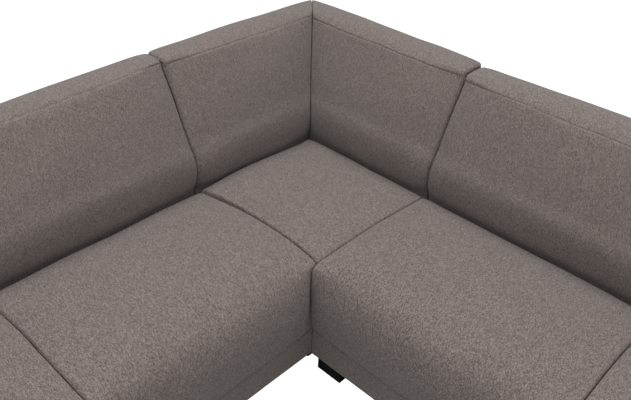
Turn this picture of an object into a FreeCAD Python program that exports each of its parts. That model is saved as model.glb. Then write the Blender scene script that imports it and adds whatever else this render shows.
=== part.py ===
import FreeCAD, Part
import math
import os

from FreeCAD import Vector

# An upholstered corner sofa in two units, standing on black block feet. Sizes are in millimetres.
# While it is being built the inner back crease corner is the origin of the plan: the right wing
# runs along +X with its back on the +Y side, the left wing runs along -Y with its back on the -X
# side. The finished solids are moved so that the origin is below the middle of the whole sofa.

# Plan sizes
corner_x = 552.0            # crease corner to the joint plane with the right unit
corner_y = 540.0            # crease corner to the seam with the left wing's first seat
left_seat_depth = 557.0     # crease to the front plane of the left wing
right_seat_depth = 550.0
left_seat_width = 757.0
right_seat_width = 810.0
seats_per_wing = 2
arm_width = 180.0
back_depth = 243.0          # crease to the back's rearmost edge

# Heights above the floor
foot_height = 55.0
plinth_height = 107.0
base_height = 296.0         # top of the wooden base boxes
crease_height = 422.0
back_height = 847.0         # corner backs
wing_back_drop = 9.0        # how much lower the wings' backs are
arm_height = 620.0

# Soft forms
seat_crown = 18.0           # rise of a seat above its crease
seat_belly = 4.0            # further rise halfway between a seat's ends
seat_draw = 12.0            # how far a seat's ends are drawn in
crown_place = 0.45          # share of the top's depth where its arc is guided
crown_guide = 1.0           # rise of that guide above the crown
nose_size = 95.0            # depth and height of the rounded front edge halfway along a seat
nose_end_size = 38.0        # and at the seat's two ends
nose_blend = 150.0          # length over which the rounding grows
nose_bulge = 5.0            # how far the front stands proud of the plinth plane
front_hollow = 1.0          # how far the front's lower half falls short of that
hem_height = 8.0            # straight hem above the plinth
sill_share = 0.6            # share of the front foam's thickness that the hem turns under
front_foam = 25.0
corner_edge = 22.0          # rounding of the corner seat's free edge
corner_seat_dip = 3.0       # how much lower its top is at that edge
back_swell = 15.0           # how far the lower back stands forward of the crease
back_swell_height = 60.0    # above the crease
back_waist = 16.0           # how far behind the crease the face is at the waist
back_waist_height = 168.0   # above the crease
back_bow = 5.0              # how far the upper face bows forward
back_lean = 122.0           # crease to the middle of the top front edge, measured back
top_edge_before = 10.0      # from there to the rounding's lower end
top_edge_behind = 14.0      # and to its upper end
top_edge_drop = 29.0        # height of the rounding
top_edge_out = 5.0          # how far its middle stands out
top_edge_down = 8.0         # and how far its middle lies below the top
band_crown = 1.5
back_rear_edge = 16.0
back_draw = 18.0            # how far a back's ends are drawn in
back_belly = 4.0
back_foam_foot = 61.0       # thickness of the back's foam at the deck
back_foam_behind = 34.0     # from the top front edge's middle to the foam's rear face there
top_foam = 45.0
rear_flap = 36.0            # the top band's turn-down behind the top rail
draw_length = 60.0          # length over which an end is drawn in
draw_steps = 5              # slices over that length
belly_steps = 6             # steps between slices over the rest
arm_top_foam = 25.0
arm_side_foam = 6.0
arm_front_foam = 12.0
arm_edge = 18.0

# Clearances
unit_gap = 2.0              # between the covers of the two units
panel_gap = 10.0            # between the end panels of the two units, where the connectors sit
seam_gap = 1.0              # between neighbouring covers of one unit
touch_gap = 0.5             # between a soft face and what stands beside it
hole_gap = 0.1              # round a screw's shank
socket_gap = 0.75           # round the connector's tongue
hook_seat_gap = 0.3         # under the hook's shelf, where it hangs on the socket

# Boards, sheets and small parts
board = 22.0
arm_board = 18.0
top_rail_height = 20.0
hardboard = 4.0
cover_sheet = 3.0
dust_sheet = 1.0
plinth_set_back = 1.0
spring_rail_height = 66.0
spring_rail_back = 30.0     # crease to the rear face of the spring rail
felt = 4.0
wire = 3.6
spring_width = 66.0
spring_pitch = 40.0
springs_per_seat = 4
springs_per_corner = 3
clip_length = 20.0
clip_width = 10.0
clip_wall = 1.2
corner_post = 60.0

# Feet, blocks and screws
foot_length = 99.0
foot_width = 70.0
foot_end_inset = 26.0
foot_front_inset = 11.0
foot_round = 4.0
foot_screw_spacing = 60.0
foot_screw_from_inner = 15.0    # a foot's inner edge to its screws
block_length = 90.0
block_past_screws = 18.0
block_height = 45.0
screw_shank = 4.5
screw_head = 9.0
screw_head_height = 3.0
foot_screw_length = 62.0
foot_screw_recess = 22.0
foot_recess_gap = 1.0       # round a screw's head in its recess
plate_screw_length = 18.0

# Joint plates and connectors
plate_thickness = 3.0
plate_width = 60.0
plate_height = 120.0
plate_screw_x = 18.0
plate_screw_z = 42.0
plate_from_rear = 56.0      # frame's rear face to the rear edge of a joint plate
connector_width = 64.0
connector_height = 90.0
connector_sheet = 1.5
connector_z = 150.0         # underside of a socket above the floor
connector_front = 400.0     # crease to the front connector's middle
connector_rear = 60.0
tongue_width = 30.0
tongue_thickness = 2.5
tongue_length = 34.0
connector_screw_offset = 25.0
connector_screw_z = 67.0    # underside of a connector to its screws
pocket_height = 45.0

# Values that follow from the sizes above
dust_top = foot_height + dust_sheet
plinth_top = foot_height + plinth_height
felt_bottom = base_height + wire + clip_wall
deck = felt_bottom + felt
frame_rear = back_depth - cover_sheet - hardboard
frame_top = back_height - wing_back_drop - top_foam
rail_bottom = frame_top - top_rail_height
foam_slope = (back_lean + back_foam_behind - back_foam_foot) / (frame_top - deck)
slant = math.sqrt(0.5)
half_unit_gap = unit_gap / 2
half_panel_gap = panel_gap / 2


def on_right(s, d, z):
    """s along the right wing, d forward of the crease."""
    return Vector(s, -d, z)


def on_left(s, d, z):
    """s along the left wing, d forward of the crease."""
    return Vector(d, -s, z)


class Wing:
    """One arm of the L: where it lies, where its seats start and end, and how deep they are."""

    def __init__(self, at, start, depth, seat_width):
        self.at = at
        self.start = start
        self.depth = depth
        self.seat_width = seat_width
        self.end = start + seats_per_wing * seat_width
        self.rail_front = depth - front_foam
        self.rail_rear = depth - front_foam - board

    def box(self, s0, s1, d0, d1, z0, z1):
        a = self.at(s0, d0, z0)
        b = self.at(s1, d1, z1)
        low = Vector(min(a.x, b.x), min(a.y, b.y), min(a.z, b.z))
        return Part.makeBox(abs(a.x - b.x), abs(a.y - b.y), abs(a.z - b.z), low)

    def slice(self, s, path):
        """A closed wire across the wing at s. A path step is a point, or a pair for an arc."""
        here = self.at(s, *path[0])
        first = here
        edges = []
        for step in path[1:] + [path[0]]:
            if isinstance(step[0], tuple):
                via = self.at(s, *step[0])
                end = self.at(s, *step[1])
                edges.append(Part.Arc(here, via, end).toShape())
            else:
                end = self.at(s, *step)
                edges.append(Part.LineSegment(here, end).toShape())
            here = end
        assert here.distanceToPoint(first) < 1e-6
        return Part.Wire(edges)

    def prism(self, s0, s1, path):
        """A straight piece with the same outline from s0 to s1."""
        face = Part.Face(self.slice(s0, path))
        return face.extrude(self.at(s1, 0, 0) - self.at(s0, 0, 0))


right = Wing(on_right, corner_x, right_seat_depth, right_seat_width)
left = Wing(on_left, corner_y, left_seat_depth, left_seat_width)


def stations(s0, s1, belly, draw_start, draw_end):
    """Places along a cushion with how far its outside is drawn in there."""
    reach = min(draw_length, (s1 - s0) / 4)
    parts = [n / draw_steps for n in range(draw_steps)]
    begin = [(s0 + reach * part ** 2, draw_start * (1 - part) ** 2) for part in parts]
    finish = [(s1 - reach * part ** 2, draw_end * (1 - part) ** 2) for part in reversed(parts)]
    if not draw_start:
        begin = [(s0, 0.0)]
    near = s0 + (reach if draw_start else 0.0)
    far = s1 - reach
    middle = []
    for n in range(belly_steps + 1):
        t = n / belly_steps
        middle.append((near + (far - near) * t, -belly * 4 * t * (1 - t)))
    if not draw_start:
        middle = middle[1:]
    return begin + middle + finish


def loft(slices):
    """A solid through slices, its faces straight from each slice to the next."""
    solid = Part.makeLoft(slices, True, True)
    if solid.Volume < 0:
        solid.reverse()
    return solid


def nose_at(s, s0, s1):
    """Size of the rounded front edge at s: small at a seat's ends, full in its middle."""
    away = min(min(s - s0, s1 - s) / nose_blend, 1.0)
    return nose_end_size + (nose_size - nose_end_size) * math.sin(away * math.pi / 2)


def seat_path(wing, inset, nose):
    """Outline across a seat: level deck, crowned top, deep round front that hooks over the rail."""
    top = crease_height + seat_crown - inset
    front = wing.depth + nose_bulge - inset
    nose_centre = front - nose
    face_top = top - nose
    hem = front - nose_bulge
    sill = wing.rail_front + (hem - wing.rail_front) * sill_share
    return [
        (0.0, deck),
        (0.0, crease_height - inset / 2),
        ((nose_centre * crown_place, top + crown_guide), (nose_centre, top)),
        ((nose_centre + nose * slant, face_top + nose * slant), (front, face_top)),
        ((front - front_hollow, (face_top + plinth_top) / 2), (hem, plinth_top + hem_height)),
        (sill, plinth_top + touch_gap),
        (wing.rail_front + touch_gap, plinth_top + touch_gap),
        (wing.rail_front + touch_gap, deck),
    ]


def seat(wing, s0, s1):
    places = stations(s0, s1, seat_belly, seat_draw, seat_draw)
    return loft([wing.slice(s, seat_path(wing, inset, nose_at(s, s0, s1))) for s, inset in places])


def corner_seat_path(inset):
    """Outline across the corner seat, from the right back's crease to the left wing's first seat."""
    top = crease_height + seat_crown - inset
    edge = corner_y - seam_gap / 2
    turn = edge - corner_edge
    edge_top = top - corner_seat_dip
    return [
        (0.0, deck),
        (0.0, crease_height - inset / 2),
        ((turn * crown_place, top + crown_guide), (turn, edge_top)),
        ((turn + corner_edge * slant, edge_top - corner_edge * (1 - slant)),
         (edge, edge_top - corner_edge)),
        (edge, deck),
    ]


def corner_seat():
    places = stations(seam_gap, corner_x - half_unit_gap, seat_belly, seat_crown, seat_draw)
    return loft([right.slice(s, corner_seat_path(inset)) for s, inset in places])


def foam_line(z):
    """Distance behind the crease of the foam's rear face at a height."""
    return back_foam_foot + foam_slope * (z - deck)


def back_path(top_height, inset):
    """Outline across a back: lumbar curve, rounded top edge, level top band and its turn-down."""
    top = top_height - inset
    low = touch_gap + max(inset, 0.0) / 2
    waist = back_waist + inset
    waist_z = crease_height + back_waist_height
    edge_low = back_lean - top_edge_before + inset
    edge_low_z = top - top_edge_drop
    turn = back_lean + top_edge_behind + inset
    rear_turn = back_depth - back_rear_edge
    return [
        (-low, deck),
        (-low, crease_height + cover_sheet),
        ((back_swell - inset, crease_height + back_swell_height), (-waist, waist_z)),
        ((back_bow - (waist + edge_low) / 2, (waist_z + edge_low_z) / 2), (-edge_low, edge_low_z)),
        ((top_edge_out - (edge_low + turn) / 2, top - top_edge_down), (-turn, top)),
        ((-(turn + rear_turn) / 2, top + band_crown), (-rear_turn, top)),
        ((-(rear_turn + back_rear_edge * slant), top - back_rear_edge * (1 - slant)),
         (-back_depth, top - back_rear_edge)),
        (-back_depth, frame_top - rear_flap),
        (-(frame_rear + touch_gap), frame_top - rear_flap),
        (-(frame_rear + touch_gap), frame_top),
        (-foam_line(frame_top), frame_top),
        (-foam_line(deck), deck),
    ]


def back(wing, s0, s1, top, draw_start=back_draw):
    places = stations(s0, s1, back_belly, draw_start, back_draw)
    return loft([wing.slice(s, back_path(top, inset)) for s, inset in places])


def mitre(wing, shape):
    """Keeps what lies on a wing's own side of the diagonal through the crease corner."""
    far = back_depth * 2
    ahead = back_swell * 2
    points = [(-far, -far), (wing.start, -far), (wing.start, ahead), (ahead, ahead), (-far, -far)]
    outline = Part.makePolygon([wing.at(s, d, 0.0) for s, d in points])
    keep = Part.Face(outline).extrude(Vector(0, 0, back_height * 2))
    return shape.common(keep).Solids[0]


def corner_back(wing, s1):
    return mitre(wing, back(wing, -back_depth, s1, back_height, draw_start=0.0))


def hardboard_path():
    """The reclined sheet that the back's foam lies against."""
    top = rail_bottom
    return [
        (-(foam_line(deck) + touch_gap), deck),
        (-(foam_line(top) + touch_gap), top),
        (-(foam_line(top) + hardboard), top),
        (-(foam_line(deck) + hardboard), deck),
    ]


def post_path():
    """A back post: straight rear edge, front edge along the hardboard."""
    low = foam_line(base_height) + hardboard
    high = foam_line(rail_bottom) + hardboard
    return [(-low, base_height), (-high, rail_bottom), (-frame_rear, rail_bottom), (-frame_rear, base_height)]


def cross_places(wing, first):
    """Where the cross panels of a wing start: at its inner end, between its seats, at its arm."""
    middles = [wing.start + wing.seat_width * n - board / 2 for n in range(1, seats_per_wing)]
    return [first] + middles + [wing.end - board]


def bays(wing, places):
    """The free widths between neighbouring cross panels."""
    return [(a + board, b) for a, b in zip(places, places[1:])]


def spring(at, middle, near, far):
    """A zigzag wire from the near rail to the far one, lying in one plane."""
    z = base_height + wire / 2
    runs = max(2, round((far - near) / spring_pitch))
    pitch = (far - near) / runs
    bend = pitch / 2
    half = spring_width / 2 - bend
    edges = []
    for n in range(runs + 1):
        d = near + pitch * n
        side = 1 if n % 2 == 0 else -1
        a = at(middle - half * side, d, z)
        b = at(middle + half * side, d, z)
        edges.append(Part.LineSegment(a, b).toShape())
        if n == runs:
            break
        out = middle + half * side
        k = bend * slant
        tip = at(out + bend * side, d + bend, z)
        first = at(out + k * side, d + bend - k, z)
        second = at(out + k * side, d + bend + k, z)
        edges.append(Part.Arc(b, first, tip).toShape())
        edges.append(Part.Arc(tip, second, at(out, d + pitch, z)).toShape())
    path = Part.Wire(edges)
    begin = at(middle - half, near, z)
    along = at(middle + half, near, z) - begin
    ring = Part.Wire(Part.makeCircle(wire / 2, begin, along))
    pipe = Part.BRepOffsetAPI.MakePipeShell(path)
    pipe.add(ring)
    pipe.build()
    pipe.makeSolid()
    return pipe.shape()


def clip(wing, middle, d):
    """A bent steel saddle that holds one end run of a spring on its rail."""
    s0 = middle - clip_length / 2
    s1 = middle + clip_length / 2
    whole = wing.box(s0, s1, d - clip_width / 2, d + clip_width / 2, base_height, felt_bottom)
    half = wire / 2 + hole_gap
    tunnel = wing.box(s0, s1, d - half, d + half, base_height, felt_bottom - clip_wall + hole_gap)
    return whole.cut(tunnel).Solids[0]


def spring_set(wing, free_bays, near, far, count):
    """Springs and clips across the free bays of a wing."""
    springs = []
    clips = []
    for a, b in free_bays:
        one = None
        for n in range(count):
            middle = a + (b - a) * (n + 0.5) / count
            if one is None:
                one = spring(wing.at, middle, near, far)
                origin = wing.at(middle, 0, 0)
            copy = one.copy()
            copy.translate(wing.at(middle, 0, 0) - origin)
            springs.append(copy)
            clips.append(clip(wing, middle, near))
            clips.append(clip(wing, middle, far))
    return springs, clips


def screw(tip, direction, length):
    """A pan-head screw: tip is the end of its shank, direction points from tip to head."""
    shank = Part.makeCylinder(screw_shank / 2, length, tip, direction)
    head_at = tip + direction * length
    head = Part.makeCylinder(screw_head / 2, screw_head_height, head_at, direction)
    return shank.fuse(head).removeSplitter().Solids[0]


def screw_hole(tip, direction, length):
    return Part.makeCylinder(screw_shank / 2 + hole_gap, length + hole_gap, tip - direction * hole_gap, direction)


def drill(pieces, holes):
    """Cuts every hole that reaches into a piece."""
    drilled = []
    for piece in pieces:
        near = [hole for hole in holes if hole.BoundBox.intersect(piece.BoundBox)]
        drilled.append(piece.cut(near).Solids[0] if near else piece)
    return drilled


class FootPlace:
    """Where a foot stands: its start along a wing, its outer edge, and the board beside its block."""

    def __init__(self, wing, s0, edge, outward, board_face):
        self.wing = wing
        self.s0 = s0
        self.edge = edge
        self.outward = outward
        self.board_face = board_face
        self.inner = edge - outward * foot_width
        self.screw_d = self.inner + outward * foot_screw_from_inner

    def screw_places(self):
        middle = self.s0 + foot_length / 2
        return [middle - foot_screw_spacing / 2, middle + foot_screw_spacing / 2]

    def foot(self):
        """A block foot with rounded upright edges and a deep recess for each screw head."""
        wing = self.wing
        block = wing.box(self.s0, self.s0 + foot_length, self.inner, self.edge, 0.0, foot_height)
        upright = [e for e in block.Edges if abs(e.Vertexes[0].Z - e.Vertexes[-1].Z) > foot_height / 2]
        block = block.makeFillet(foot_round, upright)
        up = Vector(0, 0, 1)
        shafts = []
        for s in self.screw_places():
            bottom = wing.at(s, self.screw_d, 0.0)
            shafts.append(Part.makeCylinder(screw_head / 2 + foot_recess_gap, foot_screw_recess, bottom, up))
            shafts.append(Part.makeCylinder(screw_shank / 2 + hole_gap, foot_height, bottom, up))
        return block.cut(shafts).Solids[0]

    def screws(self):
        """The foot's screws, and the holes that they need above it."""
        top = foot_screw_recess + foot_screw_length
        down = Vector(0, 0, -1)
        tips = [self.wing.at(s, self.screw_d, top) for s in self.screw_places()]
        screws = [screw(tip, down, foot_screw_length) for tip in tips]
        holes = [screw_hole(tip, down, top - foot_height + dust_sheet) for tip in tips]
        return screws, holes

    def block(self):
        """The pine block inside the base, beside a board, that the foot's screws bite into."""
        s = self.s0 + (foot_length - block_length) / 2
        far = self.screw_d - self.outward * block_past_screws
        return self.wing.box(s, s + block_length, self.board_face, far, dust_top, dust_top + block_height)


def joint_plate(wing, s):
    """A steel plate across the joint between a cross panel and its back post, on the face at s."""
    d0 = -(frame_rear - plate_from_rear)
    z0 = base_height - plate_height / 2
    return wing.box(s, s + plate_thickness, d0, d0 + plate_width, z0, z0 + plate_height)


def joint_plate_screws(wing, s):
    """Four screws through a joint plate into the panel and the post, with their holes."""
    d = -(frame_rear - plate_from_rear) + plate_width / 2
    screws = []
    holes = []
    out = wing.at(1, 0, 0) - wing.at(0, 0, 0)
    for dd in (-plate_screw_x, plate_screw_x):
        for dz in (-plate_screw_z, plate_screw_z):
            tip = wing.at(s + plate_thickness - plate_screw_length, d + dd, base_height + dz)
            screws.append(screw(tip, out, plate_screw_length))
            holes.append(screw_hole(tip, out, plate_screw_length))
    return screws, holes


def connector_socket(d):
    """A steel pocket on the corner unit's end panel, open at its top."""
    face = corner_x - half_panel_gap
    inner = tongue_thickness + socket_gap * 2
    s1 = face + connector_sheet
    s2 = s1 + inner
    s3 = s2 + connector_sheet
    z1 = connector_z + connector_height
    half = connector_width / 2
    pocket = tongue_width / 2 + socket_gap
    pocket_top = connector_z + pocket_height
    plate = right.box(face, s1, d - half, d + half, connector_z, z1)
    cheek_a = right.box(s1, s2, d - pocket - connector_sheet, d - pocket, connector_z, pocket_top)
    cheek_b = right.box(s1, s2, d + pocket, d + pocket + connector_sheet, connector_z, pocket_top)
    bridge = right.box(s2, s3, d - pocket - connector_sheet, d + pocket + connector_sheet, connector_z, pocket_top)
    return plate.fuse([cheek_a, cheek_b, bridge]).removeSplitter().Solids[0]


def connector_hook(d):
    """A steel plate on the right unit's end panel with a tongue that drops into the socket."""
    face = corner_x + half_panel_gap
    tongue0 = corner_x - half_panel_gap + connector_sheet + socket_gap
    tongue1 = tongue0 + tongue_thickness
    pocket_top = connector_z + pocket_height
    shelf0 = pocket_top + hook_seat_gap
    shelf1 = shelf0 + tongue_thickness
    half = connector_width / 2
    plate = right.box(face - connector_sheet, face, d - half, d + half, connector_z, connector_z + connector_height)
    half = tongue_width / 2
    shelf = right.box(tongue0, face - connector_sheet, d - half, d + half, shelf0, shelf1)
    tongue = right.box(tongue0, tongue1, d - half, d + half, shelf0 - tongue_length, shelf1)
    return plate.fuse([shelf, tongue]).removeSplitter().Solids[0]


def connector_screws(d, side):
    """Two countersunk screws of a connector, flush in its plate: side is -1 for the socket."""
    screws = []
    holes = []
    inward = Vector(side, 0, 0)
    face = corner_x + side * (half_panel_gap - connector_sheet)
    for dd in (-connector_screw_offset, connector_screw_offset):
        head = on_right(face, d + dd, connector_z + connector_screw_z)
        tip = head + inward * plate_screw_length
        screws.append(Part.makeCylinder(screw_shank / 2, plate_screw_length, tip, inward * -1))
        holes.append(screw_hole(tip, inward * -1, plate_screw_length))
    return screws, holes


def arm(wing):
    """An arm's boards and its padded cover, beside the last seat of a wing."""
    s0 = wing.end + touch_gap
    s1 = wing.end + arm_width
    d0 = -(frame_rear + cover_sheet)
    d1 = wing.depth
    frame_s0 = s0 + arm_side_foam
    frame_s1 = s1 - arm_side_foam
    frame_d0 = -frame_rear
    frame_d1 = d1 - arm_front_foam
    top = arm_height - arm_top_foam
    inside = (frame_s0 + arm_board, frame_s1 - arm_board)
    boards = [
        wing.box(frame_s0, inside[0], frame_d0, frame_d1, dust_top, top),
        wing.box(inside[1], frame_s1, frame_d0, frame_d1, dust_top, top),
        wing.box(*inside, frame_d1 - arm_board, frame_d1, dust_top, top),
        wing.box(*inside, frame_d0, frame_d0 + arm_board, dust_top, top),
        wing.box(*inside, frame_d0 + arm_board, frame_d1 - arm_board, top - arm_board, top),
    ]
    cover = wing.box(s0, s1, d0, d1, dust_top, arm_height)
    corner = wing.at(s0, d1, 0.0)
    end = wing.at(s1, d1, 0.0)
    edges = []
    for edge in cover.Edges:
        ends = [v.Point for v in edge.Vertexes]
        level = all(abs(p.z - arm_height) < 1e-6 for p in ends)
        in_front = all(near_line(p, corner) or near_line(p, end) for p in ends)
        if level or in_front:
            edges.append(edge)
    radius = min(arm_edge, arm_top_foam - cover_sheet, arm_front_foam + arm_side_foam)
    cover = cover.makeFillet(radius, edges)
    hollow = wing.box(frame_s0, frame_s1, frame_d0, frame_d1, dust_top, top)
    return boards, cover.cut(hollow).Solids[0]


def near_line(point, foot_point):
    """Whether a point is above a given point of the plan."""
    return abs(point.x - foot_point.x) < 1e-6 and abs(point.y - foot_point.y) < 1e-6


def base(wing, places, first, front_from):
    """The long boards of a wing's base box and its cross panels."""
    rail = wing.box(front_from, wing.end, wing.rail_rear, wing.rail_front, dust_top, base_height)
    panels = []
    for s in places:
        panels.append(wing.box(s, s + board, -(frame_rear - board), wing.rail_rear, dust_top, base_height))
    low = base_height - spring_rail_height
    rails = []
    for a, b in bays(wing, places):
        rails.append(wing.box(a, b, -spring_rail_back, board - spring_rail_back, low, base_height))
    rear = wing.box(first, wing.end, -frame_rear, -(frame_rear - board), dust_top, base_height)
    return rail, panels, rails, rear


nodes = {}
spring_near = board / 2 - spring_rail_back

# Right unit: base
right_first = corner_x + half_panel_gap
right_places = cross_places(right, right_first)
right_rail, right_panels, right_spring_rails, right_rear = base(right, right_places, right_first, right_first)
right_bays = bays(right, right_places)
right_springs, right_clips = spring_set(
    right, right_bays, spring_near, right.rail_rear + board / 2, springs_per_seat)

# Corner unit: base of its left wing, then the corner bay
left_first = corner_y - board
left_places = cross_places(left, left_first)
left_rail, left_panels, left_spring_rails, left_rear = base(left, left_places, -frame_rear, left.start)
left_bays = bays(left, left_places)
left_springs, left_clips = spring_set(
    left, left_bays, spring_near, left.rail_rear + board / 2, springs_per_seat)
end_panel_face = corner_x - half_panel_gap
end_panel_inner = end_panel_face - board
left_panels[0] = left.box(
    left_first, corner_y, -(frame_rear - board), end_panel_inner, dust_top, base_height)
corner_end_panel = right.box(
    end_panel_inner, end_panel_face, -(frame_rear - board), corner_y, dust_top, base_height)
corner_rear_panel = right.box(
    -(frame_rear - board), end_panel_face, -frame_rear, -(frame_rear - board), dust_top, base_height)
corner_spring_rail = right.box(
    -(frame_rear - board), end_panel_inner, -spring_rail_back, board - spring_rail_back,
    base_height - spring_rail_height, base_height)
corner_springs, corner_clips = spring_set(
    right, [(0.0, end_panel_inner)], spring_near, corner_y - board / 2, springs_per_corner)

# Feet: the shown one stands at the right unit's inner front corner


def front_foot(wing, s0):
    edge = wing.depth - plinth_set_back - foot_front_inset
    return FootPlace(wing, s0, edge, 1, wing.rail_rear)


def rear_foot(wing, s0):
    return FootPlace(wing, s0, -(frame_rear - foot_front_inset), -1, -(frame_rear - board))


def arm_feet(wing):
    """The two feet under an arm, whose blocks stand beside the arm's own boards."""
    s0 = wing.end + arm_width - foot_end_inset - foot_length
    front = front_foot(wing, s0)
    front.board_face = wing.depth - arm_front_foam - arm_board
    rear = rear_foot(wing, s0)
    rear.board_face = -(frame_rear - arm_board)
    return [front, rear]


right_inner_foot = corner_x + foot_end_inset
corner_inner_foot = corner_x - foot_end_inset - foot_length
right_feet_places = [
    front_foot(right, right_inner_foot),
    rear_foot(right, right_inner_foot),
    front_foot(right, right.start + right.seat_width + board / 2),
] + arm_feet(right)
corner_feet_places = [
    front_foot(left, left.start + left.seat_width + board / 2),
    rear_foot(left, left.start + left.seat_width + board / 2),
    rear_foot(right, corner_inner_foot),
    FootPlace(right, corner_inner_foot, corner_y - foot_front_inset, 1, left_first),
    rear_foot(right, -(frame_rear - board)),
] + arm_feet(left)


def feet_set(places):
    """Feet, blocks, screws and screw holes for a list of places."""
    screws = []
    holes = []
    for place in places:
        new_screws, new_holes = place.screws()
        screws += new_screws
        holes += new_holes
    return [place.foot() for place in places], drill([place.block() for place in places], holes), screws, holes


right_feet, right_blocks, right_foot_screws, right_foot_holes = feet_set(right_feet_places)
corner_feet, corner_blocks, corner_foot_screws, corner_foot_holes = feet_set(corner_feet_places)

# Underside sheets
right_dust = right.box(
    right_first, right.end + arm_width - arm_side_foam, -frame_rear, right.rail_front, foot_height, dust_top)
left_dust = left.box(
    corner_y, left.end + arm_width - arm_side_foam, -frame_rear, left.rail_front, foot_height, dust_top)
corner_dust = right.box(
    -frame_rear, end_panel_face, -frame_rear, corner_y, foot_height, dust_top)

# Back frames
right_posts = [right.prism(s, s + board, post_path()) for s in right_places]
left_posts = [left.prism(s, s + board, post_path()) for s in left_places[1:]]
corner_posts = [
    right.prism(end_panel_inner, end_panel_face, post_path()),
    left.prism(left_first, corner_y, post_path()),
    right.box(-frame_rear, -frame_rear + corner_post, -frame_rear, -frame_rear + corner_post,
              base_height, rail_bottom),
]
rail_d0 = -frame_rear
rail_d1 = -(foam_line(frame_top) + touch_gap)
right_top_rail = right.box(right_first, right.end, rail_d0, rail_d1, rail_bottom, frame_top)
left_top_rail = left.box(left.start, left.end, rail_d0, rail_d1, rail_bottom, frame_top)
corner_top_rails = [
    right.box(-frame_rear, end_panel_face, rail_d0, rail_d1, rail_bottom, frame_top),
    left.box(rail_d1, left.start, rail_d0, rail_d1, rail_bottom, frame_top),
]
right_hardboard = right.prism(right_first, right.end, hardboard_path())
left_hardboard = left.prism(left.start, left.end, hardboard_path())
corner_hardboards = [
    mitre(right, right.prism(-frame_rear, end_panel_face, hardboard_path())),
    mitre(left, left.prism(-frame_rear, left.start, hardboard_path())),
]

# Joint plates between the base's cross panels and the back posts
right_plates = []
right_plate_screws = []
right_plate_holes = []
for s in right_places[:-1]:
    right_plates.append(joint_plate(right, s + board))
    new_screws, new_holes = joint_plate_screws(right, s + board)
    right_plate_screws += new_screws
    right_plate_holes += new_holes
corner_plates = []
corner_plate_screws = []
corner_plate_holes = []
for s in left_places[:-1]:
    corner_plates.append(joint_plate(left, s + board))
    new_screws, new_holes = joint_plate_screws(left, s + board)
    corner_plate_screws += new_screws
    corner_plate_holes += new_holes

# Connectors between the units: sockets on the corner unit, hooks on the right unit
sockets = []
hooks = []
socket_holes = []
hook_holes = []
for d in (connector_rear, connector_front):
    new_screws, new_holes = connector_screws(d, -1)
    sockets += drill([connector_socket(d)], new_holes)
    corner_plate_screws += new_screws
    socket_holes += new_holes
    new_screws, new_holes = connector_screws(d, 1)
    hooks += drill([connector_hook(d)], new_holes)
    right_plate_screws += new_screws
    hook_holes += new_holes

# Covers at the rear, and at the outer ends of the backs above the arms
cover_top = frame_top - rear_flap - touch_gap


def end_cover(wing):
    """The sheet that closes a back's outer end above its arm."""
    shape = [
        (-(foam_line(arm_height) + touch_gap), arm_height + touch_gap),
        (-(foam_line(frame_top) + touch_gap), frame_top),
        (-frame_rear, frame_top),
        (-frame_rear, arm_height + touch_gap),
    ]
    return wing.prism(wing.end, wing.end + cover_sheet, shape)


right_rear_covers = [
    right.box(right_first, right.end, -(frame_rear + cover_sheet), -frame_rear, dust_top, cover_top),
    end_cover(right),
]
corner_rear_covers = [
    right.box(-(frame_rear + cover_sheet), end_panel_face, -(frame_rear + cover_sheet), -frame_rear,
              dust_top, cover_top),
    left.box(-frame_rear, left.end, -(frame_rear + cover_sheet), -frame_rear, dust_top, cover_top),
    end_cover(left),
]

# Plinth borders in front of the rails
right_plinth = right.box(
    right_first, right.end, right.rail_front, right.depth - plinth_set_back,
    foot_height, plinth_top)
left_plinth = left.box(
    right.depth + unit_gap, left.end, left.rail_front, left.depth - plinth_set_back,
    foot_height, plinth_top)

# Deck felts
right_felt = right.box(right_first, right.end, -spring_rail_back, right.rail_front, felt_bottom, deck)
felt_left = left.box(corner_y, left.end, -spring_rail_back, left.rail_front, felt_bottom, deck)
felt_corner = right.box(-spring_rail_back, end_panel_face, -spring_rail_back, corner_y, felt_bottom, deck)

# Seats and backs
half_seam = seam_gap / 2
right_middle = right.start + right.seat_width
left_middle = left.start + left.seat_width
nodes["corner_seat"] = [corner_seat()]
left_inner_seat = seat(left, left.start + half_seam, left_middle - half_seam)
# The inner front corner leaves room for the right unit's seat to lift past it
beside_joint = left.box(left.start, right.depth + nose_bulge + touch_gap,
                        corner_x - half_unit_gap, left.depth + nose_bulge * 2, 0.0, back_height)
nodes["left_inner_seat"] = [left_inner_seat.cut(beside_joint).Solids[0]]
nodes["left_outer_seat"] = [seat(left, left_middle + half_seam, left.end - half_seam)]
nodes["right_inner_seat"] = [seat(right, right.start + half_unit_gap, right_middle - half_seam)]
nodes["right_outer_seat"] = [seat(right, right_middle + half_seam, right.end - half_seam)]
nodes["corner_left_back"] = [corner_back(left, left.start - half_seam)]
nodes["corner_right_back"] = [corner_back(right, corner_x - half_unit_gap)]
wing_back_height = back_height - wing_back_drop
nodes["left_inner_back"] = [
    back(left, left.start + half_seam, left_middle - half_seam, wing_back_height)]
nodes["left_outer_back"] = [
    back(left, left_middle + half_seam, left.end - half_seam, wing_back_height)]
nodes["right_inner_back"] = [
    back(right, right.start + half_unit_gap, right_middle - half_seam, wing_back_height)]
nodes["right_outer_back"] = [
    back(right, right_middle + half_seam, right.end - half_seam, wing_back_height)]
left_arm_boards, left_arm_cover = arm(left)
right_arm_boards, right_arm_cover = arm(right)
nodes["left_arm_cover"] = [left_arm_cover]
nodes["right_arm_cover"] = [right_arm_cover]
nodes["left_plinth"] = [left_plinth]
nodes["right_plinth"] = [right_plinth]
nodes["corner_unit_rear_covers"] = corner_rear_covers
nodes["right_rear_covers"] = right_rear_covers

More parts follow.
